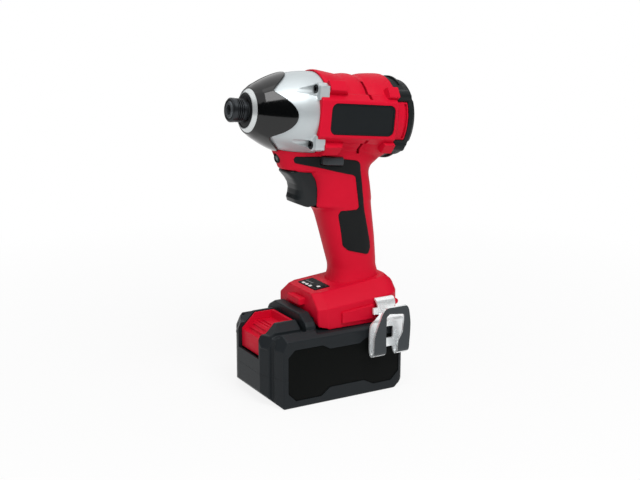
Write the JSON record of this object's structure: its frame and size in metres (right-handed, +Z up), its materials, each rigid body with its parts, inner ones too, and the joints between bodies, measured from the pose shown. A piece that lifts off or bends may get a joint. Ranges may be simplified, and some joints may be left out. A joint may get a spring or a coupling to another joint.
{
  "type": "impact driver",
  "caption": "Cordless impact driver with pistol grip, hex bit holder in a tapered metal nose, belt hook and slide-on battery.",
  "frame": {"origin": "on the battery's base, straight below the point where the tool axis crosses the handle's centre", "axes": "+X towards the nose, +Y to the tool's left, +Z up from the base it stands on"},
  "size_m": [0.1363, 0.0924, 0.2317],
  "materials": {
    "red_plastic": "moulded",
    "black_plastic": "moulded",
    "soft_rubber": "matte",
    "badge_plastic": "matte",
    "cast_alloy": "satin",
    "boot_plastic": "gloss",
    "seal_rubber": "matte",
    "black_steel": "black oxide",
    "tool_steel": "ground",
    "chrome_steel": "polished",
    "bronze": "satin",
    "copper": "enamelled wire",
    "lamination": "stacked sheet",
    "green_board": "solder mask",
    "clear_lens": "clear",
    "panel_plastic": "gloss",
    "white_lamp": "diffuse",
    "pack_plastic": "moulded",
    "pack_panel": "fine matte",
    "cell_wrap": "shrink film",
    "ivory_plastic": "moulded"
  },
  "bodies": {
    "tool": {"housing_left": "red_plastic", "housing_right": "red_plastic", "grip_left": "soft_rubber", "grip_right": "soft_rubber", "side_badges": "badge_plastic", "rear_cover": "black_plastic", "rear_cover_screws": "black_steel", "hammer_case": "cast_alloy", "nose_boot": "boot_plastic", "front_seal": "seal_rubber", "case_screws": "black_steel", "housing_screws": "black_steel", "anvil_bush": "bronze", "ring_gear": "black_steel", "spindle_bearing": "tool_steel", "gearbox_plate": "black_plastic", "stator_core": "lamination", "stator_windings": "copper", "motor_bearings": "tool_steel", "sensor_board": "green_board", "switch_body": "black_plastic", "work_light_lens": "clear_lens", "work_light_bezel": "black_plastic", "control_panel": "panel_plastic", "panel_lights": "white_lamp", "control_board": "green_board", "terminal_block": "black_plastic", "tool_terminals": "copper", "belt_hook": "chrome_steel", "hook_screw": "chrome_steel", "hook_inserts": "bronze"},
    "spindle": {"camshaft": "tool_steel", "planet_pins": "tool_steel", "cam_balls": "chrome_steel", "hammer_spring": "tool_steel"},
    "rotor": {"rotor_shaft": "tool_steel", "rotor_core": "lamination", "sun_pinion": "tool_steel", "fan": "black_plastic"},
    "planet_1": {"planet_gear_1": "tool_steel"},
    "planet_2": {"planet_gear_2": "tool_steel"},
    "planet_3": {"planet_gear_3": "tool_steel"},
    "striker": {"hammer": "tool_steel"},
    "bit_holder": {"anvil": "black_steel", "sleeve_spring": "tool_steel", "sleeve_clip": "tool_steel", "detent_balls": "chrome_steel"},
    "sleeve": {"chuck_sleeve": "black_steel"},
    "trigger": {"trigger": "black_plastic"},
    "selector": {"direction_selector": "black_plastic"},
    "mode_button": {"panel_button": "panel_plastic"},
    "battery": {"battery_tray": "pack_plastic", "battery_lid": "pack_plastic", "battery_side_panels": "pack_panel", "battery_cells": "cell_wrap", "cell_holders": "ivory_plastic", "battery_board": "green_board", "latch_spring": "tool_steel", "battery_screws": "black_steel"},
    "release": {"release_button": "red_plastic"}
  },
  "joints": [
    {"name": "spindle_spin", "type": "hinge", "parent": "tool", "child": "spindle", "pos_m": [0, 0, 0.1985], "axis": [0.9945, 0, 0.1045], "continuous": true},
    {"name": "rotor_spin", "type": "hinge", "parent": "tool", "child": "rotor", "pos_m": [0, 0, 0.1985], "axis": [0.9945, 0, 0.1045], "continuous": true},
    {"name": "planet_1_spin", "type": "hinge", "parent": "spindle", "child": "planet_1", "pos_m": [-0.00125, 0, 0.21043], "axis": [0.9945, 0, 0.1045], "continuous": true},
    {"name": "planet_2_spin", "type": "hinge", "parent": "spindle", "child": "planet_2", "pos_m": [0.00063, 0.01039, 0.19253], "axis": [0.9945, 0, 0.1045], "continuous": true},
    {"name": "planet_3_spin", "type": "hinge", "parent": "spindle", "child": "planet_3", "pos_m": [0.00063, -0.01039, 0.19253], "axis": [0.9945, 0, 0.1045], "continuous": true},
    {"name": "hammer_retract", "type": "slide", "parent": "spindle", "child": "striker", "axis": [-0.9945, 0, -0.1045], "range_m": [0, 0.007], "stiffness_N_per_m": 15000, "springref_m": -0.006, "deforming": ["hammer_spring"]},
    {"name": "anvil_spin", "type": "hinge", "parent": "tool", "child": "bit_holder", "pos_m": [0, 0, 0.1985], "axis": [0.9945, 0, 0.1045], "continuous": true},
    {"name": "sleeve_pull", "type": "slide", "parent": "bit_holder", "child": "sleeve", "axis": [0.9945, 0, 0.1045], "range_m": [0, 0.004], "stiffness_N_per_m": 1200, "springref_m": -0.003, "deforming": ["sleeve_spring"]},
    {"name": "trigger_pull", "type": "slide", "parent": "tool", "child": "trigger", "axis": [-0.9945, 0, -0.1045], "range_m": [0, 0.007], "stiffness_N_per_m": 1000, "springref_m": -0.004},
    {"name": "selector_slide", "type": "slide", "parent": "tool", "child": "selector", "axis": [0, 1, 0], "range_m": [-0.0025, 0.0025]},
    {"name": "panel_press", "type": "slide", "parent": "tool", "child": "mode_button", "axis": [0, 0, -1], "range_m": [0, 0.0005], "stiffness_N_per_m": 4000, "springref_m": -0.0002},
    {"name": "battery_slide", "type": "slide", "parent": "tool", "child": "battery", "axis": [1, 0, 0], "range_m": [0, 0.085]},
    {"name": "release_press", "type": "slide", "parent": "battery", "child": "release", "axis": [0, 0, -1], "range_m": [0, 0.0045], "stiffness_N_per_m": 1500, "springref_m": -0.003, "deforming": ["latch_spring"]}
  ],
  "couplings": [
    {"joint": "rotor_spin", "follows": "spindle_spin", "ratio": 5},
    {"joint": "anvil_spin", "follows": "spindle_spin", "ratio": 1},
    {"joint": "planet_1_spin", "follows": "spindle_spin", "ratio": -2.6667},
    {"joint": "planet_2_spin", "follows": "spindle_spin", "ratio": -2.6667},
    {"joint": "planet_3_spin", "follows": "spindle_spin", "ratio": -2.6667}
  ]
}
